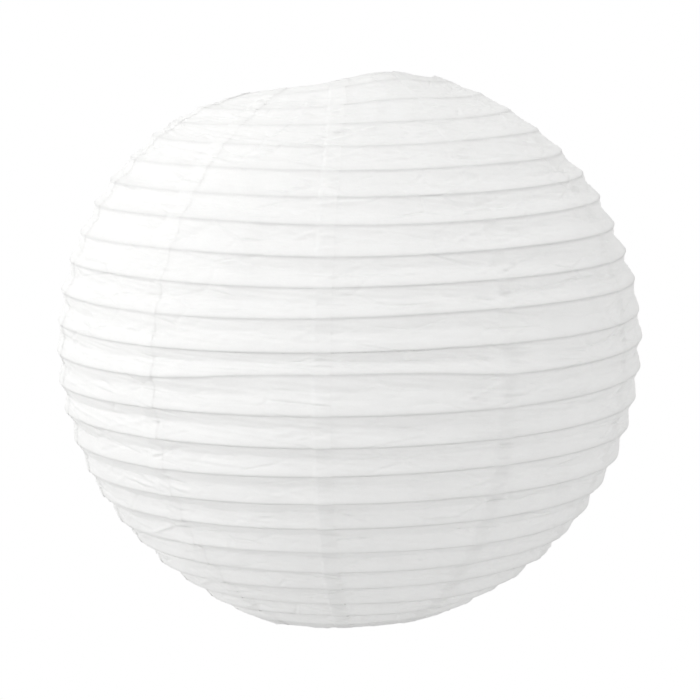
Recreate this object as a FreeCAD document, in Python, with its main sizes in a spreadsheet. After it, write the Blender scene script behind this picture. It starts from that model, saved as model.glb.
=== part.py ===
import FreeCAD, Part
import Sketcher
import math
import os
import sys

# Round paper lantern. A shade of ten paper gores lies over one steel wire that winds round it as a
# right-handed helix, from a small hoop at the bottom to a small hoop at the top. A bent wire expander
# stands inside, holds the two hoops apart and ends above in a hanging eye.
# Origin: middle of the shade's box, on its axis. +Z up, -Y towards the viewer. Millimetres.

doc = FreeCAD.newDocument("paper_lantern")

DRIVING = [
    ("ShadeRadius", 200.0),         # inner face of the paper at the widest place
    ("PaperThickness", 0.3),        # thickness of the paper shell
    ("GoreCount", 10),              # paper gores round the shade
    ("FirstSeam", -96.4),           # angle of the seam nearest the front, degrees from +X
    ("TopEdgeRadius", 66.5),        # upper edge of the paper
    ("TopEdgeHeight", 176.0),       # above the widest place
    ("BottomEdgeRadius", 72.5),     # lower edge of the paper
    ("BottomEdgeDrop", 183.0),      # how far the lower edge lies below the widest place
    ("HoopWire", 2.5),              # diameter of the wire of the two end hoops
    ("HoopInset", 2.2),             # from the paper to the middle of a hoop's wire
    ("HoopBelowEdge", 1.6),         # from the paper's edge to the middle of a hoop's wire
    ("SleeveDiameter", 3.9),        # crimped sleeve over the butt joint of a hoop
    ("SleeveLength", 14.0),
    ("SleeveTurn", 90.0),           # where the sleeves and the rib wire's ends sit, degrees from +X
    ("RibWire", 1.2),               # diameter of the helical rib wire
    ("RibSides", 8),                # the rib wire's section is a polygon, so that its mesh stays light
    ("RibInset", 0.75),             # from the paper to the middle of the rib wire
    ("TurnCount", 23),              # turns of the rib wire
    ("RibEndGap", 3.0),             # from a hoop to the nearest end of the rib wire, along the shade
    ("FrameWire", 2.4),             # diameter of the expander's wire
    ("FrameTurn", 112.0),           # plane of the expander, degrees from +X
    ("LegOffset", 60.0),            # from the axis to each leg
    ("LegEnd", 14.0),               # from a hoop to the near end of a leg
    ("BarEnd", 14.0),               # from a leg in to the end of the cross bar
    ("EarInset", 6.0),              # from a leg in to the ear that stands inside the top hoop
    ("EarRise", 0.9),               # from the top hoop's middle line up to the corner of the ear
    ("SeatStart", 0.5),             # from a leg out to where the seat under the top hoop begins
    ("SeatReach", 5.5),             # from the top hoop's middle line out to the end of the seat
    ("HeelInset", 8.0),             # from the bottom hoop's middle line in to the heel of the toe
    ("ToeReach", 3.0),              # from the bottom hoop's middle line out to the end of the toe
    ("FrameBend", 2.4),             # bend radius of the expander's wire
    ("SeatGap", 0.08),              # from the expander's seats to the hoops that press on them
    ("BarDrop", 32.0),              # from the top hoop down to the cross bar
    ("EyeRadius", 7.0),             # middle line of the hanging eye
    ("EyeRise", 17.0),              # from the cross bar up to the top of the eye's middle line
]

sheet = doc.addObject("Spreadsheet::Sheet", "Sizes")
for row, (alias, value) in enumerate(DRIVING, start=1):
    sheet.set(f"A{row}", alias)
    sheet.set(f"B{row}", str(value))
    sheet.setAlias(f"B{row}", alias)
doc.recompute()


def size(alias):
    """The plain number that a cell of the sheet holds."""
    return float(getattr(sheet, alias))


FIRST_SEAM = size("FirstSeam")
GORE_ANGLE = 360.0 / size("GoreCount")

# Heights in the sheet count from the widest place, and the origin is the middle of the shade's height.
WIDEST_HEIGHT = (size("BottomEdgeDrop") - size("TopEdgeHeight")) / 2


def turned(degrees, height=0.0):
    """A placement turned about the lantern's axis, at a height above the widest place."""
    return FreeCAD.Placement(
        FreeCAD.Vector(0, 0, WIDEST_HEIGHT + height),
        FreeCAD.Rotation(FreeCAD.Vector(0, 0, 1), degrees),
    )


def constrain(sketch, name, *what):
    """Adds a constraint to a sketch, names it if it has a name and returns its number."""
    number = sketch.addConstraint(Sketcher.Constraint(*what))
    if name:
        sketch.renameConstraint(number, name)
    return number


def report_wire(wire, path, section_area):
    """Prints a wire's length, and its volume against its section times its length."""
    share = wire.Shape.Volume / (section_area * path.Length)
    print(f"{wire.Label}: length {path.Length:.0f} mm, volume {share:.4f} of section times length")


# ---- the shade's outline -----------------------------------------------------------------------
# Above and below the widest place the outline is one circular arc, with its centre on the plane of
# the widest place, so that the two arcs join there without a corner.


def arc_centre(radius, edge_radius, edge_height):
    """How far from the axis the centre of an outline arc lies, from the point where the arc ends."""
    return (radius**2 - edge_radius**2 - edge_height**2) / (2.0 * (radius - edge_radius))


UPPER_CENTRE = arc_centre(size("ShadeRadius"), size("TopEdgeRadius"), size("TopEdgeHeight"))
LOWER_CENTRE = arc_centre(size("ShadeRadius"), size("BottomEdgeRadius"), size("BottomEdgeDrop"))
UPPER_ARC = size("ShadeRadius") - UPPER_CENTRE
LOWER_ARC = size("ShadeRadius") - LOWER_CENTRE


def outline_at(height, inset):
    """Distance from the axis of the line that lies inset inside the paper, at a height."""
    centre, arc = (UPPER_CENTRE, UPPER_ARC) if height >= 0 else (LOWER_CENTRE, LOWER_ARC)
    return centre + math.sqrt((arc - inset) ** 2 - height**2)


# ---- paper gores -------------------------------------------------------------------------------


def outline_arc(sketch, centre_x, arc, edge_x, edge_y):
    """An arc of the outline from the widest place to an edge, either up or down."""
    middle = FreeCAD.Vector(centre_x, 0, 0)
    edge_angle = math.atan2(edge_y, edge_x - centre_x)
    circle = Part.Circle(middle, FreeCAD.Vector(0, 0, 1), arc)
    return sketch.addGeometry(Part.ArcOfCircle(circle, min(0.0, edge_angle), max(0.0, edge_angle)))


def gore_sketch(body, name):
    """The section of the paper: two arcs inside, two outside, and the cut edges above and below."""
    sketch = body.newObject("Sketcher::SketchObject", name)
    plane = next(f for f in body.Origin.OriginFeatures if f.Role == "XZ_Plane")
    sketch.AttachmentSupport = [(plane, "")]
    sketch.MapMode = "FlatFace"

    paper = size("PaperThickness")
    top, bottom = size("TopEdgeHeight"), -size("BottomEdgeDrop")
    top_x, bottom_x = size("TopEdgeRadius"), size("BottomEdgeRadius")
    inner_up = outline_arc(sketch, UPPER_CENTRE, UPPER_ARC, top_x, top)
    inner_down = outline_arc(sketch, LOWER_CENTRE, LOWER_ARC, bottom_x, bottom)
    outer_top_x, outer_bottom_x = outline_at(top, -paper), outline_at(bottom, -paper)
    outer_up = outline_arc(sketch, UPPER_CENTRE, UPPER_ARC + paper, outer_top_x, top)
    outer_down = outline_arc(sketch, LOWER_CENTRE, LOWER_ARC + paper, outer_bottom_x, bottom)
    top_line = sketch.addGeometry(
        Part.LineSegment(FreeCAD.Vector(top_x, top, 0), FreeCAD.Vector(outer_top_x, top, 0))
    )
    bottom_line = sketch.addGeometry(
        Part.LineSegment(
            FreeCAD.Vector(bottom_x, bottom, 0), FreeCAD.Vector(outer_bottom_x, bottom, 0)
        )
    )

    start, end, centre, axis, origin = 1, 2, 3, -1, (-1, 1)
    for up, down in ((inner_up, inner_down), (outer_up, outer_down)):
        constrain(sketch, None, "Coincident", up, start, down, end)
        constrain(sketch, None, "PointOnObject", up, start, axis)
    constrain(sketch, None, "PointOnObject", inner_up, centre, axis)
    constrain(sketch, None, "PointOnObject", inner_down, centre, axis)
    constrain(sketch, None, "Coincident", inner_up, centre, outer_up, centre)
    constrain(sketch, None, "Coincident", inner_down, centre, outer_down, centre)
    constrain(sketch, None, "Coincident", top_line, start, inner_up, end)
    constrain(sketch, None, "Coincident", top_line, end, outer_up, end)
    constrain(sketch, None, "Coincident", bottom_line, start, inner_down, start)
    constrain(sketch, None, "Coincident", bottom_line, end, outer_down, start)
    constrain(sketch, None, "Horizontal", top_line)
    constrain(sketch, None, "Horizontal", bottom_line)

    shade = size("ShadeRadius")
    named = [
        ("Widest", "DistanceX", (*origin, inner_up, start), shade, "Sizes.ShadeRadius"),
        ("WidestOuter", "DistanceX", (*origin, outer_up, start), shade + paper,
         "Sizes.ShadeRadius + Sizes.PaperThickness"),
        ("TopX", "DistanceX", (*origin, inner_up, end), top_x, "Sizes.TopEdgeRadius"),
        ("TopY", "DistanceY", (*origin, inner_up, end), top, "Sizes.TopEdgeHeight"),
        ("BottomX", "DistanceX", (*origin, inner_down, start), bottom_x, "Sizes.BottomEdgeRadius"),
        ("BottomY", "DistanceY", (inner_down, start, *origin), -bottom, "Sizes.BottomEdgeDrop"),
    ]
    for name, kind, points, value, formula in named:
        constrain(sketch, name, kind, *points, value)
        sketch.setExpression(f"Constraints.{name}", formula)
    return sketch


def paper_gore(number):
    """One gore: the paper's section turned through its share of a full turn about the axis."""
    label = f"paper_gore_{number:02d}"
    body = doc.addObject("PartDesign::Body", label)
    body.Label = label
    sketch = gore_sketch(body, f"{label}_section")
    revolution = body.newObject("PartDesign::Revolution", f"{label}_turn")
    revolution.Profile = sketch
    revolution.ReferenceAxis = (sketch, ["V_Axis"])
    revolution.Midplane = True
    revolution.Angle = GORE_ANGLE
    revolution.setExpression("Angle", "360 / Sizes.GoreCount")
    body.Tip = revolution
    body.Placement = turned(FIRST_SEAM + (number - 0.5) * GORE_ANGLE)
    return body


# ---- end hoops and their sleeves ---------------------------------------------------------------


def hoop(label, height, middle_radius):
    """An end hoop: a ring of round wire with its middle line at a height."""
    ring = doc.addObject("Part::Torus", label)
    ring.Label = label
    ring.Radius1 = middle_radius
    ring.setExpression("Radius2", "Sizes.HoopWire / 2")
    ring.Placement = turned(0.0, height)
    return ring


def hoop_sleeve(label, ring, height, middle_radius):
    """The crimped sleeve that joins the two ends of a hoop's wire."""
    turn = math.degrees(size("SleeveLength") / middle_radius)
    outer = doc.addObject("Part::Torus", f"{label}_outside")
    outer.Radius1 = middle_radius
    outer.setExpression("Radius2", "Sizes.SleeveDiameter / 2")
    outer.Angle3 = turn
    outer.Placement = turned(size("SleeveTurn") - turn / 2, height)
    sleeve = doc.addObject("Part::Cut", label)
    sleeve.Label = label
    sleeve.Base = outer
    sleeve.Tool = ring
    return sleeve


# ---- rib wire ----------------------------------------------------------------------------------
# The wire rises by the same length along the outline in every half turn. Each half turn is one
# circular arc whose ends lie on opposite sides of the axis, so that neighbouring arcs share their
# direction where they meet, and the middle line stays on the outline or just inside it.


def point_along(length, inset):
    """Distance from the axis and height, at a length along the outline above its widest place."""
    centre, arc = (UPPER_CENTRE, UPPER_ARC) if length >= 0 else (LOWER_CENTRE, LOWER_ARC)
    angle = length / arc
    return centre + (arc - inset) * math.cos(angle), (arc - inset) * math.sin(angle)


def rib_wire(label, top_hoop_height, top_radius, bottom_hoop_height, bottom_radius):
    """The helical wire, built as one tube along a chain of half-turn arcs."""
    inset, radius = size("RibInset"), size("RibWire") / 2
    top_angle = math.atan2(top_hoop_height, top_radius - UPPER_CENTRE)
    bottom_angle = math.atan2(bottom_hoop_height, bottom_radius - LOWER_CENTRE)
    upper_length = UPPER_ARC * top_angle - size("RibEndGap")
    lower_length = LOWER_ARC * bottom_angle + size("RibEndGap")
    half_turns = int(round(2 * size("TurnCount")))
    rise = (upper_length - lower_length) / half_turns

    def end_point(number):
        side = 1.0 if number % 2 == 0 else -1.0
        distance, height = point_along(lower_length + number * rise, inset)
        return FreeCAD.Vector(side * distance, 0, height)

    arcs = []
    for number in range(half_turns):
        first, last = end_point(number), end_point(number + 1)
        middle = (first + last) / 2
        side = 1.0 if number % 2 == 0 else -1.0
        crown = middle + FreeCAD.Vector(0, side * (last - first).Length / 2, 0)
        arcs.append(Part.Arc(first, crown, last).toShape())
    path = Part.Wire(arcs)
    sides = int(round(size("RibSides")))
    corners = []
    for number in range(sides + 1):
        angle = 2 * math.pi * (number % sides + 0.5) / sides
        corners.append(
            end_point(0) + FreeCAD.Vector(radius * math.cos(angle), 0, radius * math.sin(angle))
        )
    section = Part.makePolygon(corners)
    wire = doc.addObject("Part::Feature", label)
    wire.Label = label
    wire.Shape = path.makePipeShell([section], True, False)
    wire.Placement = turned(size("SleeveTurn"))
    section_area = sides / 2 * math.sin(2 * math.pi / sides) * radius**2
    report_wire(wire, path, section_area)
    return wire


# ---- expander ----------------------------------------------------------------------------------


def rounded_path(points, bend):
    """A flat wire through the points, with every corner rounded to the bend radius."""
    edges, start = [], points[0]
    for before, corner, after in zip(points, points[1:], points[2:]):
        back = (before - corner).normalize()
        ahead = (after - corner).normalize()
        half = back.getAngle(ahead) / 2
        trim = bend / math.tan(half)
        first, last = corner + back * trim, corner + ahead * trim
        inward = (back + ahead).normalize()
        crown = corner + inward * (bend / math.sin(half) - bend)
        edges.append(Part.LineSegment(start, first).toShape())
        edges.append(Part.Arc(first, crown, last).toShape())
        start = last
    edges.append(Part.LineSegment(start, points[-1]).toShape())
    return edges


def expander(label, top_hoop_height, top_radius, bottom_hoop_height, bottom_radius):
    """The bent wire frame: eye, cross bar, two notched shoulders, two legs and two toes."""
    seat = (size("HoopWire") + size("FrameWire")) / 2 + size("SeatGap")
    leg, bar = size("LegOffset"), top_hoop_height - size("BarDrop")
    eye, rise, bend = size("EyeRadius"), size("EyeRise"), size("FrameBend")
    seat_height, toe_height = top_hoop_height - seat, bottom_hoop_height + seat
    shoulder = [
        (leg - size("BarEnd"), bar),
        (leg - size("EarInset"), top_hoop_height + size("EarRise")),
        (leg + size("SeatStart"), seat_height),
        (top_radius + size("SeatReach"), seat_height),
        (leg, top_hoop_height - size("LegEnd")),
        (leg, bottom_hoop_height + size("LegEnd")),
        (bottom_radius - size("HeelInset"), toe_height),
        (bottom_radius + size("ToeReach"), toe_height),
    ]
    half = [FreeCAD.Vector(eye, 0, bar), *(FreeCAD.Vector(x, 0, z) for x, z in shoulder)]
    mirrored = [FreeCAD.Vector(-p.x, 0, p.z) for p in reversed(half)]
    eye_foot = bar + rise - eye
    arch = [
        Part.Arc(
            FreeCAD.Vector(-eye, 0, eye_foot),
            FreeCAD.Vector(0, 0, bar + rise),
            FreeCAD.Vector(eye, 0, eye_foot),
        ).toShape()
    ]
    right = rounded_path([FreeCAD.Vector(eye, 0, eye_foot), *half], bend)
    left = rounded_path([*mirrored, FreeCAD.Vector(-eye, 0, eye_foot)], bend)
    path = Part.Wire(left + arch + right)
    section = Part.Wire(
        Part.makeCircle(size("FrameWire") / 2, mirrored[0], mirrored[1] - mirrored[0])
    )
    frame = doc.addObject("Part::Feature", label)
    frame.Label = label
    frame.Shape = path.makePipeShell([section], True, False)
    frame.Placement = turned(size("FrameTurn"))
    report_wire(frame, path, math.pi * (size("FrameWire") / 2) ** 2)
    return frame


# ---- the whole lantern -------------------------------------------------------------------------

top_height = size("TopEdgeHeight") - size("HoopBelowEdge")
bottom_height = -size("BottomEdgeDrop") + size("HoopBelowEdge")
top_radius = outline_at(top_height, size("HoopInset"))
bottom_radius = outline_at(bottom_height, size("HoopInset"))

top_hoop = hoop("top_hoop", top_height, top_radius)
bottom_hoop = hoop("bottom_hoop", bottom_height, bottom_radius)
pieces = [paper_gore(number) for number in range(1, int(round(size("GoreCount"))) + 1)]
pieces += [
    top_hoop,
    bottom_hoop,
    hoop_sleeve("top_hoop_sleeve", top_hoop, top_height, top_radius),
    hoop_sleeve("bottom_hoop_sleeve", bottom_hoop, bottom_height, bottom_radius),
    rib_wire("rib_wire", top_height, top_radius, bottom_height, bottom_radius),
    expander("expander_frame", top_height, top_radius, bottom_height, bottom_radius),
]
doc.recompute()

faults = [o.Label for o in doc.Objects if "Invalid" in o.State or "Error" in o.State]
for piece in pieces:
    shape = piece.Shape
    if shape.isNull() or not shape.isValid() or len(shape.Solids) != 1:
        faults.append(piece.Label)
if faults:
    print("not built:", ", ".join(sorted(set(faults))))
    sys.exit(1)

os.makedirs("parts", exist_ok=True)
for piece in pieces:
    piece.Shape.exportStep(f"parts/{piece.Label}.step")
    box = piece.Shape.BoundBox
    print(f"{piece.Label}: {box.XLength:.1f} x {box.YLength:.1f} x {box.ZLength:.1f} mm")
print(f"top hoop: radius {top_radius:.2f}, {top_height:.2f} above the widest place")
print(f"bottom hoop: radius {bottom_radius:.2f}, {-bottom_height:.2f} below the widest place")
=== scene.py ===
"""Round white paper lantern, seen slightly from above, in front of a plain white ground.

The shade is ten gores of crinkled translucent paper over one helical rib wire. Every gore, the wire, the
two end hoops and their sleeves are modelled here round the CAD model's places. The expander inside is a
copy of the CAD node's mesh, bent at both ends to follow the hoops, which hang tilted. Everything is in
metres, +Z up, and the camera looks along +Y.
"""

import math

import bmesh
import bpy
import numpy as np
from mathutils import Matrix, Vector

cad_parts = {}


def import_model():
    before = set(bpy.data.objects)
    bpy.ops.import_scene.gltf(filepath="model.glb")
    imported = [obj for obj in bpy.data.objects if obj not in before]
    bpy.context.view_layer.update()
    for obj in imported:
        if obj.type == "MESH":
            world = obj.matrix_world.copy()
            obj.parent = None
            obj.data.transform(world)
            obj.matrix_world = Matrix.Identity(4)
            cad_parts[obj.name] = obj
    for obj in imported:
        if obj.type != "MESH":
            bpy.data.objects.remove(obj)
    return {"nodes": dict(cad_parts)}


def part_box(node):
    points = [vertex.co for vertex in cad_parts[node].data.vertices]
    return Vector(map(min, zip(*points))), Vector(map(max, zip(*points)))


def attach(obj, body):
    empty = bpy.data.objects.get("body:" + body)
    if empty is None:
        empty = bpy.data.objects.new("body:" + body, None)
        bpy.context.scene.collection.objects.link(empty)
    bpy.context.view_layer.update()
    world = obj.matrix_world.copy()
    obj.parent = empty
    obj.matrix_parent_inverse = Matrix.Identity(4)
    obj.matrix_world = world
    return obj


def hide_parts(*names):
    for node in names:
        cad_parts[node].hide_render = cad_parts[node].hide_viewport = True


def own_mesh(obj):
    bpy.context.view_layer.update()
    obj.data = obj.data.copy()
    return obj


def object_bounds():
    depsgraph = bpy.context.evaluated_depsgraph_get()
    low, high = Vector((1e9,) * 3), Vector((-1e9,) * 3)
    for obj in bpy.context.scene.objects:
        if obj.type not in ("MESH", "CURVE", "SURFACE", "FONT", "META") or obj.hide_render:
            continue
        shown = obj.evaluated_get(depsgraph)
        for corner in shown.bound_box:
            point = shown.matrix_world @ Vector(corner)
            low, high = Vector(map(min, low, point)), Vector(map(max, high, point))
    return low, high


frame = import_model()
CAD_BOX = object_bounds()

MM = 0.001
TURN = 2 * math.pi

TOP_HOOP_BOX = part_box("top_hoop")
BOTTOM_HOOP_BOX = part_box("bottom_hoop")
HOOP_WIRE = TOP_HOOP_BOX[1][2] - TOP_HOOP_BOX[0][2]
TOP_HOOP_RADIUS = TOP_HOOP_BOX[1][0] - HOOP_WIRE / 2
TOP_HOOP_Z = (TOP_HOOP_BOX[0][2] + TOP_HOOP_BOX[1][2]) / 2
BOTTOM_HOOP_RADIUS = BOTTOM_HOOP_BOX[1][0] - HOOP_WIRE / 2
BOTTOM_HOOP_Z = (BOTTOM_HOOP_BOX[0][2] + BOTTOM_HOOP_BOX[1][2]) / 2

PAPER = 0.3 * MM                            # the CAD shell's thickness
GORE_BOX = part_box("paper_gore_01")
SHADE_RADIUS = CAD_BOX[1][0] - PAPER        # inner face of the shell at the widest place
TOP_EDGE_Z = GORE_BOX[1][2]
BOTTOM_EDGE_Z = GORE_BOX[0][2]
WIDEST_Z = 3.5 * MM                         # height of the widest place
TOP_EDGE_RADIUS = 66.5 * MM
BOTTOM_EDGE_RADIUS = 72.5 * MM

GORES = 10
GORE_ANGLE = TURN / GORES
FIRST_SEAM = math.radians(-96.4)
LAP = 10.5 * MM                             # glued overlap of one gore on the next
LAP_LIFT = 0.40 * MM                        # how far the lap stands off the gore under it
LAP_RAMP = 1.0 * MM                         # the lift starts this far before the seam
SKIN_LIFT = 0.1 * MM                        # the whole paper lies this far outside the outline

RIB_WIRE = 1.2 * MM
RIB_INSET = 0.75 * MM
TURNS = 23
RIB_START = math.radians(90.0)              # where the wire's two ends lie
RIB_END_GAP = 3.0 * MM
EARS = math.radians(112.0)                  # plane of the expander, whose ears hold the top hoop up

rng = np.random.default_rng(20261118)


# ---- the shade's outline --------------------------------------------------------------------------


def arc_centre(edge_radius, edge_rise):
    """How far off the axis an outline arc has its centre, from the edge where the arc ends."""
    gap = SHADE_RADIUS**2 - edge_radius**2 - edge_rise**2
    return gap / (2 * (SHADE_RADIUS - edge_radius))


UPPER_CENTRE = arc_centre(TOP_EDGE_RADIUS, TOP_EDGE_Z - WIDEST_Z)
LOWER_CENTRE = arc_centre(BOTTOM_EDGE_RADIUS, WIDEST_Z - BOTTOM_EDGE_Z)
UPPER_ARC = SHADE_RADIUS - UPPER_CENTRE
LOWER_ARC = SHADE_RADIUS - LOWER_CENTRE


def length_to(radius, z):
    """Length along the outline, from the widest place up, to the point nearest to (radius, z)."""
    centre, arc = (UPPER_CENTRE, UPPER_ARC) if z > WIDEST_Z else (LOWER_CENTRE, LOWER_ARC)
    return arc * math.atan2(z - WIDEST_Z, radius - centre)


TOP_LENGTH = length_to(TOP_EDGE_RADIUS, TOP_EDGE_Z)
BOTTOM_LENGTH = length_to(BOTTOM_EDGE_RADIUS, BOTTOM_EDGE_Z)
RIB_TOP = length_to(TOP_HOOP_RADIUS, TOP_HOOP_Z) - RIB_END_GAP
RIB_BOTTOM = length_to(BOTTOM_HOOP_RADIUS, BOTTOM_HOOP_Z) + RIB_END_GAP
PITCH = (RIB_TOP - RIB_BOTTOM) / TURNS


def outline(length, out):
    """Radius and height of points at lengths along the outline, each moved outwards by out."""
    centre = np.where(length >= 0, UPPER_CENTRE, LOWER_CENTRE)
    arc = np.where(length >= 0, UPPER_ARC, LOWER_ARC)
    angle = length / arc
    radius = centre + (arc + out) * np.cos(angle)
    return radius, WIDEST_Z + (arc + out) * np.sin(angle)


def smooth(x):
    """0 below 0, 1 above 1, and a soft step between."""
    x = np.clip(x, 0.0, 1.0)
    return x * x * (3 - 2 * x)


# ---- how the real shade departs from the plain outline --------------------------------------------

TILT_START = 85 * MM                        # the top tilts over this last length of the outline
TOP_SINK = 2.7 * MM                         # the top hoop hangs a little low
SIDE_TILT = 5.5 * MM                        # it stands higher on the right
FRONT_TILT = 6.5 * MM                       # and higher at the front, so that it hides the mouth
SIDE_SHIFT = 4.0 * MM                       # and it is pushed over to the left
EAR_LIFT = 5.0 * MM                         # the front ear lifts the rim into a peak
BACK_EAR_LIFT = 2.0 * MM
EAR_WIDTH = math.radians(24.0)
BOTTOM_START = 60 * MM                      # the bottom tilts over this last length of the outline
BOTTOM_SINK = 2.4 * MM                      # the bottom hoop hangs low too
BOTTOM_TILT = 1.8 * MM                      # and lower on the left


def turned_from(theta, middle):
    """The angle from middle to theta, between minus and plus half a turn."""
    return np.arctan2(np.sin(theta - middle), np.cos(theta - middle))


def rim_lift(theta):
    """How far the top hoop stands above its level place: a tilt, and a peak over each ear."""
    tilt = SIDE_TILT * np.cos(theta) - FRONT_TILT * np.sin(theta)
    front = EAR_LIFT * np.exp(-((turned_from(theta, EARS - math.pi) / EAR_WIDTH) ** 2))
    back = BACK_EAR_LIFT * np.exp(-((turned_from(theta, EARS) / EAR_WIDTH) ** 2))
    return tilt + front + back - TOP_SINK


def bottom_drop(theta):
    """How far the bottom hoop hangs below its level place."""
    return BOTTOM_SINK - BOTTOM_TILT * np.cos(theta)


def tilt_share(length):
    """0 in the middle of the shade, rising to 1 at the top edge and falling to -1 at the bottom edge."""
    top = np.clip((length - TOP_LENGTH + TILT_START) / TILT_START, 0, 1) ** 1.3
    bottom = np.clip((BOTTOM_LENGTH - length + BOTTOM_START) / BOTTOM_START, 0, 1)
    return top - bottom


def lifted(theta, radius, z, share):
    """Places in the row frame, moved with the top hoop (share above 0) or the bottom hoop (below 0)."""
    top = np.maximum(share, 0.0)
    bottom = np.maximum(-share, 0.0)
    x = radius * np.cos(theta) - SIDE_SHIFT * top
    rise = rim_lift(theta) * top - bottom_drop(theta) * bottom
    return np.stack([x, radius * np.sin(theta), z + rise], axis=-1)


def waves(count, lowest, highest):
    """Random sine waves along the rib wire: frequencies per turn, phases and heights."""
    frequency = rng.uniform(lowest, highest, count)
    return frequency, rng.uniform(0, TURN, count), rng.normal(0, 1, count) / math.sqrt(count)


def ripple(wave, along):
    """The sum of waves at angles along the wire; about unit height."""
    frequency, phase, height = wave
    total = np.zeros_like(along)
    for f, p, h in zip(frequency, phase, height):
        total += h * np.sin(f * along + p)
    return total


RIB_RISE_WAVE = waves(24, 0.2, 4.0)
RIB_OUT_WAVE = waves(24, 0.3, 5.0)
SAG_WAVE = waves(30, 0.5, 9.0)
FOLD_WAVE = waves(30, 1.0, 12.0)
BUCKLE_WAVES = [waves(40, 8.0, 46.0) for _ in range(3)]

RIB_WANDER = 0.7 * MM
RIB_STANDS_OUT = 0.45 * MM
RIB_LEAN = 2.6 * MM                         # the upper ribs lean: lower on the right, higher on the left
RIB_LEAN_LENGTH = 115 * MM
BOWED_RIB_LENGTH = -0.5 * MM                # one rib near the widest place is bowed up at the front
BOWED_RIB_HEIGHT = 5.6 * MM
BOWED_RIB_ANGLE = math.radians(-93.0)
BOWED_RIB_WIDTH = math.radians(27.0)


def rib_length(theta, rib):
    """Length along the outline of rib line number rib, at angles about the axis."""
    along = theta - RIB_START + TURN * rib
    even = RIB_BOTTOM + PITCH * along / TURN
    share = np.clip(1 - (even / RIB_TOP) ** 2, 0, 1)
    lean = RIB_LEAN * np.cos(theta) * np.exp(-(((even - RIB_LEAN_LENGTH) / (0.3 * RIB_TOP)) ** 2))
    wander = RIB_WANDER * ripple(RIB_RISE_WAVE, along) * np.sqrt(share)
    near = np.exp(-(((even - BOWED_RIB_LENGTH) / (0.5 * PITCH)) ** 4))
    bow = near * np.exp(-((turned_from(theta, BOWED_RIB_ANGLE) / BOWED_RIB_WIDTH) ** 4))
    return even + wander - lean + BOWED_RIB_HEIGHT * bow


def rib_out(theta, rib):
    """How far rib line number rib stands out of the outline."""
    along = theta - RIB_START + TURN * rib
    return RIB_STANDS_OUT * ripple(RIB_OUT_WAVE, along)


# ---- creases --------------------------------------------------------------------------------------
# A crease is a straight fold in one band of paper. It has a place along the rib wire and across the
# band, a slant, half a length, a width and a height (up or down). All of them vary at random.

LONG_CREASES = 15                           # in one turn: nearly level ones, along the ribs
SHORT_CREASES = 34                          # in one turn: short slanted ones
SEAM_FAN = 6                                # creases that spread from each seam in each band


def make_creases():
    """Every crease of the shade, sorted along the wire, as one array with a column for each value."""
    rows = []
    for band in range(-1, TURNS + 2):
        for _ in range(LONG_CREASES):
            up = rng.choice([-1, 1])
            rows.append((
                TURN * (band + rng.random()), rng.uniform(0.1, 0.9), rng.normal(0, 0.07),
                rng.uniform(12, 46), rng.uniform(1.0, 1.9), up * rng.uniform(0.2, 0.85),
            ))
        for _ in range(SHORT_CREASES):
            up = rng.choice([-1, 1])
            rows.append((
                TURN * (band + rng.random()), rng.uniform(0.15, 0.85), rng.normal(0, 0.45),
                rng.uniform(4, 13), rng.uniform(1.1, 2.2), up * rng.uniform(0.1, 0.7),
            ))
        for seam in range(GORES):
            theta = FIRST_SEAM + seam * GORE_ANGLE
            start = TURN * band + (theta - RIB_START) % TURN
            strength = rng.uniform(0.25, 1.0)
            for _ in range(SEAM_FAN):
                half = rng.uniform(7, 26)
                side = rng.choice([-1, 1])
                slant = rng.choice([-1, 1]) * rng.uniform(0.12, 0.42)
                place = start + side * half * 0.8 * MM / SHADE_RADIUS
                up = rng.choice([-1, 1])
                rows.append((
                    place, rng.uniform(0.25, 0.75), slant, half, rng.uniform(1.2, 2.3),
                    up * strength * rng.uniform(0.6, 1.4),
                ))
    rows.sort()
    return np.array(rows)


CREASES = make_creases()
CREASE_REACH = 0.24                         # no crease reaches further than this angle from its place


def crease_height(along, across, radius):
    """Height in metres of the creases over one band's grid of points, rows across and columns along."""
    total = np.zeros(across.shape)
    first, last = np.searchsorted(CREASES[:, 0], (along[0] - CREASE_REACH, along[-1] + CREASE_REACH))
    y_place = across * PITCH / MM
    for place, middle, slant, half, width, height in CREASES[first:last]:
        x_line = (along - place) * radius / MM
        near = np.nonzero(np.abs(x_line) < half)[0]
        if len(near) < 2:
            continue
        part = slice(near[0], near[-1] + 1)
        x = x_line[part][None, :]
        off = np.abs(y_place[:, part] - middle * PITCH / MM - slant * x)
        ridge = np.clip(1 - off / (width * math.sqrt(1 + slant * slant)), 0, 1)
        end = np.clip(1 - np.abs(x) / half, 0, 1)
        total[:, part] += height * ridge * np.sqrt(end)
    return total * MM


# ---- the paper's surface --------------------------------------------------------------------------
# Between two ribs the paper is folded in along one line, as it was pleated when the lantern was flat.

FOLD_DEPTH = 2.9 * MM                       # how far the paper folds in between two ribs
FOLD_PLACE = 0.57                           # share of the band where the fold lies
FOLD_WANDER = 0.055
UPPER_ROUNDNESS = 0.6                       # the folds grow rounder towards the top
TOP_FLATTER = 0.65                          # shares by which they grow shallower at the top
BOTTOM_DEEPER = 0.2                         # and deeper at the bottom
TOP_STEP_LESS = 0.5
STEP = 0.55 * MM                            # the paper steps in right below each rib's wire
STEP_WIDTH = 0.07                           # share of the band
BUCKLE = 0.15 * MM
LOWER_ROWS = 12
UPPER_ROWS = 12


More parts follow.
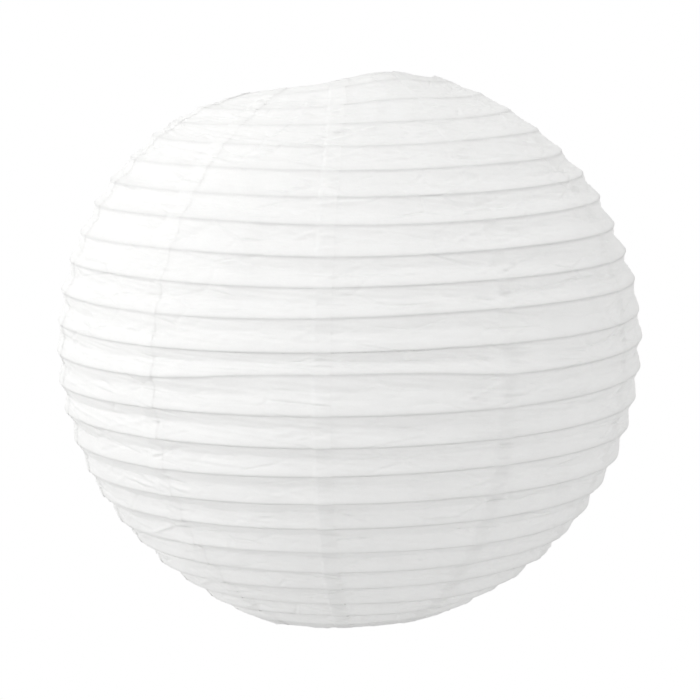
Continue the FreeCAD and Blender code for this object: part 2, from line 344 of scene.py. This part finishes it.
def band_points(theta, band):
    """One band's paper between two ribs: angle, length, distance out and share across, as grids."""
    lower, upper = rib_length(theta, band), rib_length(theta, band + 1)
    along = theta - RIB_START + TURN * band
    fold = FOLD_PLACE + FOLD_WANDER * np.clip(ripple(FOLD_WAVE, along), -1.6, 1.6)
    below = np.linspace(0, 1, LOWER_ROWS, endpoint=False)[:, None]
    above = 1 - np.linspace(1, 0, UPPER_ROWS, endpoint=False)[:, None] ** 1.4
    across = np.concatenate([below * fold, fold + above * (1 - fold)])
    valley = np.concatenate([below + 0 * fold, 1 - above + 0 * fold])

    length = np.clip(lower + (upper - lower) * across, BOTTOM_LENGTH, TOP_LENGTH)
    end = smooth((TOP_LENGTH - length) / PITCH) * smooth((length - BOTTOM_LENGTH) / PITCH)
    radius = outline(length.mean(axis=0), 0.0)[0]
    depth = FOLD_DEPTH * np.clip(1 + 0.33 * ripple(SAG_WAVE, along), 0.3, 1.7)
    round_share = UPPER_ROUNDNESS * smooth((length - 20 * MM) / (90 * MM))
    soft = valley + round_share * (np.sin(0.5 * math.pi * valley) - valley)
    towards_top = smooth((length - 80 * MM) / (110 * MM))
    towards_bottom = smooth((-length - 60 * MM) / (60 * MM))
    depth = depth * (1 - TOP_FLATTER * towards_top)
    depth = depth * (1 + BOTTOM_DEEPER * towards_bottom)
    step = STEP * smooth((1 - across) / STEP_WIDTH) * smooth(across / (1.2 * FOLD_PLACE))
    step = step * (1 - TOP_STEP_LESS * towards_top)
    free = np.minimum(1, 5 * across * (1 - across))
    buckle = sum(ripple(w, along + n * across) for n, w in enumerate(BUCKLE_WAVES)) * BUCKLE
    crease = crease_height(along, across, radius)
    rib = rib_out(theta, band) * (1 - across) + rib_out(theta, band + 1) * across
    out = (rib - depth * soft - step) * end + (buckle + crease) * free * (0.4 + 0.6 * end)
    return np.broadcast_to(theta, length.shape), length, out


def to_space(theta, length, out):
    """Places in the row frame for angles, lengths along the outline and distances out of it."""
    radius, z = outline(length, out)
    return lifted(theta, radius, z, tilt_share(length))


# ---- mesh helpers ---------------------------------------------------------------------------------


def link(name, mesh):
    """A new object of a mesh, in the scene."""
    thing = bpy.data.objects.new(name, mesh)
    bpy.context.scene.collection.objects.link(thing)
    return thing


def grid_mesh(name, points, close_columns=False, uv=None):
    """A mesh of a grid of points, rows by columns. uv gives each point's place on the flat sheet."""
    rows, columns = points.shape[:2]
    number = np.arange(rows * columns).reshape(rows, columns)
    if close_columns:
        number = np.hstack([number, number[:, :1]])
    quads = np.stack([number[:-1, :-1], number[:-1, 1:], number[1:, 1:], number[1:, :-1]], axis=-1)
    quads = quads.reshape(-1, 4)
    flat = points.reshape(-1, 3)
    near_side = np.linalg.norm(flat[quads[:, 0]] - flat[quads[:, 3]], axis=1)
    far_side = np.linalg.norm(flat[quads[:, 1]] - flat[quads[:, 2]], axis=1)
    keep = quads[np.maximum(near_side, far_side) > 1e-6]
    mesh = bpy.data.meshes.new(name)
    mesh.vertices.add(len(flat))
    mesh.vertices.foreach_set("co", flat.ravel())
    mesh.loops.add(keep.size)
    mesh.loops.foreach_set("vertex_index", keep.ravel())
    mesh.polygons.add(len(keep))
    mesh.polygons.foreach_set("loop_start", np.arange(0, keep.size, 4))
    mesh.update(calc_edges=True)
    if uv is not None:
        layer = mesh.uv_layers.new(name="sheet")
        layer.data.foreach_set("uv", uv.reshape(-1, 2)[keep.ravel()].ravel())
    mesh.validate()
    return mesh


def clean(mesh):
    """Merges doubled points and drops faces with no area and points with no face."""
    work = bmesh.new()
    work.from_mesh(mesh)
    bmesh.ops.remove_doubles(work, verts=work.verts, dist=0.02 * MM)
    bmesh.ops.dissolve_degenerate(work, edges=work.edges, dist=0.01 * MM)
    loose = [v for v in work.verts if not v.link_faces]
    bmesh.ops.delete(work, geom=loose, context="VERTS")
    work.to_mesh(mesh)
    work.free()


def shade_smooth(mesh):
    """Smooth shading on every face."""
    mesh.polygons.foreach_set("use_smooth", [True] * len(mesh.polygons))
    mesh.update()


# ---- paper gores ----------------------------------------------------------------------------------

GORE_COLUMNS = 92
LAP_COLUMNS = 8
HEM_ANGLES = (50, 80, 110, 140, 170, 200)   # round the hoop's wire, degrees from level, out to in
HEM_DEPTHS = (4.0, 7.0, 10.0)               # how far the hem hangs inside, in millimetres
HEM_GAP = 0.45 * MM
HEM_INSET = 2.9 * MM                        # the hanging hem lies this far inside the outline
HEM_LEAN = 0.1                              # and leans back out by this share of its depth
HEM_WAVE = 0.25 * MM
HEM_WAVE_COUNT = 37


def hem(theta, sign):
    """The paper's hem: over an end hoop and down inside. sign is 1 at the top and -1 at the bottom."""
    if sign > 0:
        hoop_radius, hoop_z, edge = TOP_HOOP_RADIUS, TOP_HOOP_Z, TOP_LENGTH
    else:
        hoop_radius, hoop_z, edge = BOTTOM_HOOP_RADIUS, BOTTOM_HOOP_Z, BOTTOM_LENGTH
    share = float(sign)
    wrap = HOOP_WIRE / 2 + HEM_GAP
    rows, places = [], []
    for number, degrees in enumerate(HEM_ANGLES):
        angle = math.radians(degrees)
        radius = hoop_radius + wrap * math.cos(angle) + 0 * theta
        rows.append(lifted(theta, radius, hoop_z + sign * wrap * math.sin(angle), share))
        places.append(edge + sign * number * MM)
    for depth in HEM_DEPTHS:
        wave = HEM_WAVE * np.sin(theta * HEM_WAVE_COUNT + depth)
        out = -HEM_INSET + HEM_LEAN * depth * MM + wave
        radius, z = outline(edge - sign * depth * MM + 0 * theta, out)
        rows.append(lifted(theta, radius, z, share))
        places.append(edge + sign * (len(HEM_ANGLES) + depth) * MM)
    return rows, places


def gore(number):
    """One paper gore, from its own seam to its lap over the next gore, with both hems."""
    seam = FIRST_SEAM + (number - 1) * GORE_ANGLE
    body = np.linspace(0, GORE_ANGLE, GORE_COLUMNS + 1)
    lap = np.linspace(0, 1, LAP_COLUMNS + 1)[1:]

    def columns(radius):
        return np.concatenate([seam + body, seam + GORE_ANGLE + lap * LAP / radius])

    turns_at_seam = (seam - RIB_START) / TURN
    lowest = math.floor((BOTTOM_LENGTH - RIB_BOTTOM) / PITCH - turns_at_seam) - 2
    highest = math.ceil((TOP_LENGTH - RIB_BOTTOM) / PITCH - turns_at_seam) + 2
    rows, places = [], []
    for band in range(lowest, highest):
        middle = float(rib_length(np.array([seam + GORE_ANGLE / 2]), band + 0.5)[0])
        radius = outline(np.clip(middle, BOTTOM_LENGTH, TOP_LENGTH), 0.0)[0]
        theta, length, out = band_points(columns(radius), band)
        past_seam = (theta - seam - GORE_ANGLE) * radius
        lift = smooth(past_seam / LAP_RAMP + 1) * LAP_LIFT
        points = to_space(theta, length, out + lift + SKIN_LIFT)
        used = ~((length <= BOTTOM_LENGTH).all(axis=1) | (length >= TOP_LENGTH).all(axis=1))
        rows.append(points[used])
        places.append(length[used])
    points, lengths = np.concatenate(rows), np.concatenate(places)

    top, top_places = hem(columns(TOP_EDGE_RADIUS), 1)
    bottom, bottom_places = hem(columns(BOTTOM_EDGE_RADIUS), -1)
    points = np.concatenate([np.stack(bottom[::-1]), points, np.stack(top)])
    width = np.ones(points.shape[1])
    lengths = np.concatenate([
        np.outer(bottom_places[::-1], width), lengths, np.outer(top_places, width)
    ])
    along = np.broadcast_to(columns(SHADE_RADIUS) * SHADE_RADIUS, lengths.shape)

    name = f"paper_gore_{number:02d}_skin"
    mesh = grid_mesh(name, points, uv=np.stack([along, lengths], axis=-1))
    clean(mesh)
    shade_smooth(mesh)
    return link(name, mesh)


# ---- wires ----------------------------------------------------------------------------------------


def tube(name, path, radius, sides, closed):
    """A round tube along a line of points."""
    following = np.roll(path, -1, axis=0) - np.roll(path, 1, axis=0)
    if not closed:
        following[0], following[-1] = path[1] - path[0], path[-1] - path[-2]
    ahead = following / np.linalg.norm(following, axis=1)[:, None]
    out = path * [1, 1, 0]
    out /= np.linalg.norm(out, axis=1)[:, None]
    up = np.cross(out, ahead)
    up /= np.linalg.norm(up, axis=1)[:, None]
    side = np.cross(ahead, up)
    angles = np.linspace(0, TURN, sides, endpoint=False)
    ring = np.cos(angles)[None, :, None] * side[:, None] + np.sin(angles)[None, :, None] * up[:, None]
    points = path[:, None] + radius * ring
    if closed:
        points = np.concatenate([points, points[:1]])
    mesh = grid_mesh(name, points, close_columns=True)
    if closed:
        clean(mesh)
    else:
        cap_ends(mesh, len(path), sides)
    shade_smooth(mesh)
    return link(name, mesh)


def cap_ends(mesh, rings, sides):
    """Closes a tube's two ends with a face each."""
    work = bmesh.new()
    work.from_mesh(mesh)
    work.verts.ensure_lookup_table()
    work.faces.new([work.verts[i] for i in range(sides)][::-1])
    work.faces.new([work.verts[(rings - 1) * sides + i] for i in range(sides)])
    work.normal_update()
    work.to_mesh(mesh)
    work.free()


COIL_RINGS = 120                            # rings in one turn
COIL_SIDES = 8
HOOP_RINGS = 180
HOOP_SIDES = 14


def rib_coil():
    """The helical rib wire, just inside the paper's ribs."""
    along = np.linspace(0, TURN * TURNS, COIL_RINGS * TURNS + 1)
    turn = np.floor(along / TURN)
    theta = RIB_START + along - TURN * turn
    length = rib_length(theta, turn)
    end = smooth((TOP_LENGTH - length) / PITCH) * smooth((length - BOTTOM_LENGTH) / PITCH)
    out = rib_out(theta, turn) * end - RIB_INSET
    return tube("rib_wire_coil", to_space(theta, length, out), RIB_WIRE / 2, COIL_SIDES, False)


def hoop_line(theta, radius, z, share):
    """The middle line of an end hoop, tilted as its end of the shade is."""
    return lifted(theta, radius + 0 * theta, z, share)


def hoop_ring(name, radius, z, share):
    """An end hoop of round wire."""
    theta = np.linspace(0, TURN, HOOP_RINGS, endpoint=False)
    return tube(name, hoop_line(theta, radius, z, share), HOOP_WIRE / 2, HOOP_SIDES, True)


SLEEVE_HALF_LENGTH = 7.0 * MM
SLEEVE_OUTER = 1.95 * MM
SLEEVE_RINGS = 49
SLEEVE_SIDES = 20
CRIMP_DEPTH = 0.32 * MM
CRIMP_PLACE = 0.45                          # share of the half length where each dent lies
CRIMP_WIDTH = 0.12


def crimp_sleeve(name, radius, z, share):
    """The sleeve over a hoop's joint: a short tube with two crimp dents."""
    half = SLEEVE_HALF_LENGTH / radius
    theta = np.linspace(RIB_START - half, RIB_START + half, SLEEVE_RINGS)
    path = hoop_line(theta, radius, z, share)
    sleeve = tube(name, path, 1.0, SLEEVE_SIDES, False)
    mesh = sleeve.data
    from_middle = np.abs(np.linspace(-1, 1, len(theta)))
    dent = np.exp(-(((from_middle - CRIMP_PLACE) / CRIMP_WIDTH) ** 2))
    for ring, (middle, d) in enumerate(zip(path, dent)):
        for side in range(SLEEVE_SIDES):
            vertex = mesh.vertices[ring * SLEEVE_SIDES + side]
            a = TURN * side / SLEEVE_SIDES
            outer = SLEEVE_OUTER - CRIMP_DEPTH * d * (0.5 + 0.5 * math.cos(2 * a))
            vertex.co = [m + outer * (c - m) for m, c in zip(middle, vertex.co)]
    mesh.update()
    return sleeve


# ---- materials ------------------------------------------------------------------------------------


class Nodes:
    """A material's node tree, with short calls to add and join nodes."""

    def __init__(self, name):
        self.material = bpy.data.materials.new(name)
        self.material.use_nodes = True
        self.tree = self.material.node_tree
        self.tree.nodes.clear()

    def add(self, kind, **values):
        node = self.tree.nodes.new(kind)
        for key, value in values.items():
            if hasattr(node, key):
                setattr(node, key, value)
            else:
                node.inputs[key.replace("_", " ")].default_value = value
        return node

    def join(self, source, target):
        self.tree.links.new(source, target)


def paper_material():
    """Thin white tissue paper: fibres, soft mottling, fine creases along the ribs, light coming through."""
    n = Nodes("lantern_paper")
    place = n.add("ShaderNodeUVMap", uv_map="sheet")

    def noise(stretch, **values):
        mapping = n.add("ShaderNodeMapping")
        mapping.inputs["Scale"].default_value = (*stretch, 1)
        n.join(place.outputs["UV"], mapping.inputs["Vector"])
        texture = n.add("ShaderNodeTexNoise", **values)
        n.join(mapping.outputs["Vector"], texture.inputs["Vector"])
        return texture.outputs["Fac"]

    fibre = noise((0.45, 1.0), Scale=900.0, Detail=5.0, Roughness=0.7, Distortion=1.6)
    cloud = noise((1.0, 1.0), Scale=34.0, Detail=4.0, Roughness=0.6)
    level_folds = noise((0.22, 1.0), noise_type="RIDGED_MULTIFRACTAL", Scale=110.0, Detail=3.0)

    wander = n.add("ShaderNodeMapping")
    wander.inputs["Scale"].default_value = (0.3, 1, 1)
    n.join(place.outputs["UV"], wander.inputs["Vector"])
    cells = n.add("ShaderNodeTexVoronoi", feature="DISTANCE_TO_EDGE", Scale=75.0, Randomness=1.0)
    n.join(wander.outputs["Vector"], cells.inputs["Vector"])
    groove = n.add("ShaderNodeMapRange", interpolation_type="SMOOTHSTEP")
    groove.inputs["From Max"].default_value = 0.09
    n.join(cells.outputs["Distance"], groove.inputs["Value"])
    patches = noise((0.6, 1.0), Scale=28.0, Detail=2.0)
    reach = n.add("ShaderNodeMapRange")
    reach.inputs["From Min"].default_value = 0.42
    reach.inputs["From Max"].default_value = 0.62
    n.join(patches, reach.inputs["Value"])
    lines = n.add("ShaderNodeMath", operation="MULTIPLY")
    n.join(groove.outputs["Result"], lines.inputs[0])
    n.join(reach.outputs["Result"], lines.inputs[1])
    crumple = noise((0.5, 1.0), Scale=170.0, Detail=5.0, Roughness=0.6, Distortion=0.5)

    mottle = n.add("ShaderNodeMix", data_type="FLOAT")
    mottle.inputs["Factor"].default_value = 0.45
    n.join(fibre, mottle.inputs[2])
    n.join(cloud, mottle.inputs[3])
    tint = n.add("ShaderNodeValToRGB")
    tint.color_ramp.elements[0].position = 0.3
    tint.color_ramp.elements[0].color = (0.91, 0.91, 0.905, 1)
    tint.color_ramp.elements[1].position = 0.7
    tint.color_ramp.elements[1].color = (0.97, 0.97, 0.965, 1)
    n.join(mottle.outputs[0], tint.inputs["Fac"])

    folds = n.add("ShaderNodeBump", Strength=0.1, Distance=0.0004)
    n.join(level_folds, folds.inputs["Height"])
    bump = n.add("ShaderNodeBump", Strength=0.22, Distance=0.0004)
    n.join(crumple, bump.inputs["Height"])
    n.join(folds.outputs["Normal"], bump.inputs["Normal"])
    creased = n.add("ShaderNodeBump", Strength=0.8, Distance=0.0005)
    n.join(lines.outputs["Value"], creased.inputs["Height"])
    n.join(bump.outputs["Normal"], creased.inputs["Normal"])
    grain = n.add("ShaderNodeBump", Strength=0.2, Distance=0.0001)
    n.join(fibre, grain.inputs["Height"])
    n.join(creased.outputs["Normal"], grain.inputs["Normal"])

    face = n.add("ShaderNodeBsdfPrincipled", Roughness=0.75)
    face.inputs["Specular IOR Level"].default_value = 0.2
    n.join(tint.outputs["Color"], face.inputs["Base Color"])
    n.join(grain.outputs["Normal"], face.inputs["Normal"])
    through = n.add("ShaderNodeBsdfTranslucent")
    n.join(tint.outputs["Color"], through.inputs["Color"])
    n.join(grain.outputs["Normal"], through.inputs["Normal"])
    both = n.add("ShaderNodeMixShader", Fac=0.36)
    n.join(face.outputs["BSDF"], both.inputs[1])
    n.join(through.outputs["BSDF"], both.inputs[2])
    out = n.add("ShaderNodeOutputMaterial")
    n.join(both.outputs["Shader"], out.inputs["Surface"])
    return n.material


def wire_material(name, dark, light, roughness, scale):
    """Drawn steel wire: a metal with faint streaks, small stains and a fine uneven face."""
    n = Nodes(name)
    coords = n.add("ShaderNodeTexCoord")
    stain = n.add("ShaderNodeTexNoise", Scale=scale, Detail=5.0, Roughness=0.6)
    n.join(coords.outputs["Object"], stain.inputs["Vector"])
    grain = n.add("ShaderNodeTexNoise", Scale=scale * 9, Detail=3.0, Roughness=0.6)
    n.join(coords.outputs["Object"], grain.inputs["Vector"])
    tint = n.add("ShaderNodeValToRGB")
    tint.color_ramp.elements[0].position = 0.35
    tint.color_ramp.elements[0].color = (*dark, 1)
    tint.color_ramp.elements[1].position = 0.65
    tint.color_ramp.elements[1].color = (*light, 1)
    n.join(stain.outputs["Fac"], tint.inputs["Fac"])
    rough = n.add("ShaderNodeMapRange")
    rough.inputs["To Min"].default_value = roughness - 0.08
    rough.inputs["To Max"].default_value = roughness + 0.14
    n.join(grain.outputs["Fac"], rough.inputs["Value"])
    bump = n.add("ShaderNodeBump", Strength=0.2, Distance=0.0001)
    n.join(grain.outputs["Fac"], bump.inputs["Height"])
    face = n.add("ShaderNodeBsdfPrincipled", Metallic=1.0)
    n.join(tint.outputs["Color"], face.inputs["Base Color"])
    n.join(rough.outputs["Result"], face.inputs["Roughness"])
    n.join(bump.outputs["Normal"], face.inputs["Normal"])
    out = n.add("ShaderNodeOutputMaterial")
    n.join(face.outputs["BSDF"], out.inputs["Surface"])
    return n.material


# ---- the lantern ----------------------------------------------------------------------------------

SHADE_BODY = "shade_and_expander"
HOOP_BODY = "lower_hoop"

paper = paper_material()
rib_steel = wire_material("rib_steel", (0.34, 0.33, 0.32), (0.5, 0.5, 0.49), 0.38, 120.0)
hoop_steel = wire_material("hoop_steel", (0.36, 0.36, 0.35), (0.56, 0.56, 0.55), 0.34, 90.0)
sleeve_steel = wire_material("sleeve_steel", (0.5, 0.5, 0.48), (0.68, 0.68, 0.66), 0.3, 200.0)
frame_steel = wire_material("frame_steel", (0.5, 0.5, 0.5), (0.7, 0.7, 0.7), 0.25, 70.0)


coil = rib_coil()
coil.data.materials.append(rib_steel)
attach(coil, SHADE_BODY)
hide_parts("rib_wire")
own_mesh(coil)

for number in range(1, GORES + 1):
    skin = gore(number)
    skin.data.materials.append(paper)
    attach(skin, SHADE_BODY)
    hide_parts(f"paper_gore_{number:02d}")
    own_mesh(skin)

ends = [
    ("top_hoop", TOP_HOOP_RADIUS, TOP_HOOP_Z, 1.0, SHADE_BODY),
    ("bottom_hoop", BOTTOM_HOOP_RADIUS, BOTTOM_HOOP_Z, -1.0, HOOP_BODY),
]
for node, radius, z, share, body in ends:
    ring = hoop_ring(f"{node}_ring", radius, z, share)
    ring.data.materials.append(hoop_steel)
    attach(ring, body)
    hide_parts(node)
    sleeve = crimp_sleeve(f"{node}_crimp", radius, z, share)
    sleeve.data.materials.append(sleeve_steel)
    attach(sleeve, body)
    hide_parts(f"{node}_sleeve")

EXPANDER_LEAN_Z = TOP_HOOP_Z - 90 * MM      # the expander's wire bends beyond this height, up and down


def expander_piece():
    """A copy of the CAD's bent wire expander, with both ends moved as the tilted hoops are."""
    mesh = frame["nodes"]["expander_frame"].data.copy()
    count = len(mesh.vertices)
    places = np.empty(count * 3)
    mesh.vertices.foreach_get("co", places)
    places = places.reshape(-1, 3)
    theta = np.arctan2(places[:, 1], places[:, 0])
    outward = np.hypot(places[:, 0], places[:, 1]) / TOP_HOOP_RADIUS
    rise = smooth((places[:, 2] - EXPANDER_LEAN_Z) / (TOP_HOOP_Z - EXPANDER_LEAN_Z))
    fall = smooth((-EXPANDER_LEAN_Z - places[:, 2]) / (TOP_HOOP_Z - EXPANDER_LEAN_Z))
    places[:, 2] += rise * np.minimum(outward, 1.0) * rim_lift(theta) - fall * bottom_drop(theta)
    places[:, 0] -= rise * SIDE_SHIFT
    mesh.vertices.foreach_set("co", places.ravel())
    mesh.update()
    return link("expander_wire", mesh)


expander = expander_piece()
expander.data.materials.clear()
expander.data.materials.append(frame_steel)
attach(expander, SHADE_BODY)
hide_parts("expander_frame")


# ---- stage, light and camera ----------------------------------------------------------------------

FLOOR_DROP = 3.0
FLOOR_HALF = 200.0


def floor():
    """A plain white floor far below the hanging lantern, which the camera sees and which lights nothing."""
    z = BOTTOM_EDGE_Z - FLOOR_DROP
    corners = [(x * FLOOR_HALF, y * FLOOR_HALF, z) for x, y in ((-1, -1), (1, -1), (1, 1), (-1, 1))]
    mesh = bpy.data.meshes.new("floor")
    mesh.from_pydata(corners, [], [(0, 1, 2, 3)])
    ground = link("floor", mesh)
    n = Nodes("floor_white")
    face = n.add("ShaderNodeEmission", Strength=1.0)
    face.inputs["Color"].default_value = (1, 1, 1, 1)
    out = n.add("ShaderNodeOutputMaterial")
    n.join(face.outputs["Emission"], out.inputs["Surface"])
    mesh.materials.append(n.material)
    ground.visible_diffuse = False
    ground.visible_transmission = False
    ground.visible_glossy = False


def area_light(name, place, size, power, target):
    """A soft square lamp at a place, turned to a target."""
    lamp = bpy.data.lights.new(name, "AREA")
    lamp.shape = "SQUARE"
    lamp.size = size
    lamp.energy = power
    thing = link(name, lamp)
    thing.location = place
    aim(thing, target)


def aim(thing, target):
    """Turns a lamp or camera so that its -Z axis points at a target."""
    way = Vector(target) - thing.location
    thing.rotation_euler = way.to_track_quat("-Z", "Y").to_euler()


def world(above, below):
    """Surroundings whose light fades from above to below, and which the camera itself sees as white."""
    scene_world = bpy.data.worlds.new("studio")
    scene_world.use_nodes = True
    tree = scene_world.node_tree
    background = tree.nodes["Background"]
    background.inputs["Color"].default_value = (1, 1, 1, 1)
    coords = tree.nodes.new("ShaderNodeTexCoord")
    parts = tree.nodes.new("ShaderNodeSeparateXYZ")
    fade = tree.nodes.new("ShaderNodeMapRange")
    fade.inputs["From Min"].default_value = -1.0
    fade.inputs["To Min"].default_value = below
    fade.inputs["To Max"].default_value = above
    tree.links.new(coords.outputs["Generated"], parts.inputs["Vector"])
    tree.links.new(parts.outputs["Z"], fade.inputs["Value"])
    path = tree.nodes.new("ShaderNodeLightPath")
    seen = tree.nodes.new("ShaderNodeMath")
    seen.operation = "MAXIMUM"
    tree.links.new(fade.outputs["Result"], seen.inputs[0])
    tree.links.new(path.outputs["Is Camera Ray"], seen.inputs[1])
    tree.links.new(seen.outputs["Value"], background.inputs["Strength"])
    bpy.context.scene.world = scene_world


CAMERA_DISTANCE = 10.73 * SHADE_RADIUS
CAMERA_RISE = math.radians(8.17)
SHADE_IN_VIEW = 0.8354                      # the shade's share of the picture's width
AIM_BELOW = 7.5 * MM                        # the camera looks this far below the widest place
AIM_RIGHT = 0.6 * MM


def camera():
    """The camera, looking along +Y and a little down."""
    lens = bpy.data.cameras.new("camera")
    eye = link("camera", lens)
    back = CAMERA_DISTANCE * math.cos(CAMERA_RISE)
    rise = CAMERA_DISTANCE * math.sin(CAMERA_RISE)
    eye.location = (0.0, -back, WIDEST_Z + rise)
    aim(eye, (AIM_RIGHT, 0.0, WIDEST_Z - AIM_BELOW))
    half_shade = math.tan(math.asin(SHADE_RADIUS / CAMERA_DISTANCE))
    lens.sensor_width = 36.0
    lens.lens = lens.sensor_width / 2 / (half_shade / SHADE_IN_VIEW)
    lens.clip_end = 500.0
    bpy.context.scene.camera = eye


LIGHT_ABOVE = 1.0
LIGHT_BELOW = 0.76
MIDDLE = (0, 0, 0)

floor()
world(LIGHT_ABOVE, LIGHT_BELOW)
area_light("key", (-1.5, -1.4, 2.4), size=0.8, power=17.0, target=MIDDLE)
area_light("left_fill", (-3.0, -0.3, 0.3), size=2.0, power=30.0, target=MIDDLE)
area_light("front_fill", (0.2, -3.3, 0.8), size=0.9, power=8.0, target=MIDDLE)
camera()
bpy.context.scene.view_settings.view_transform = "Standard"
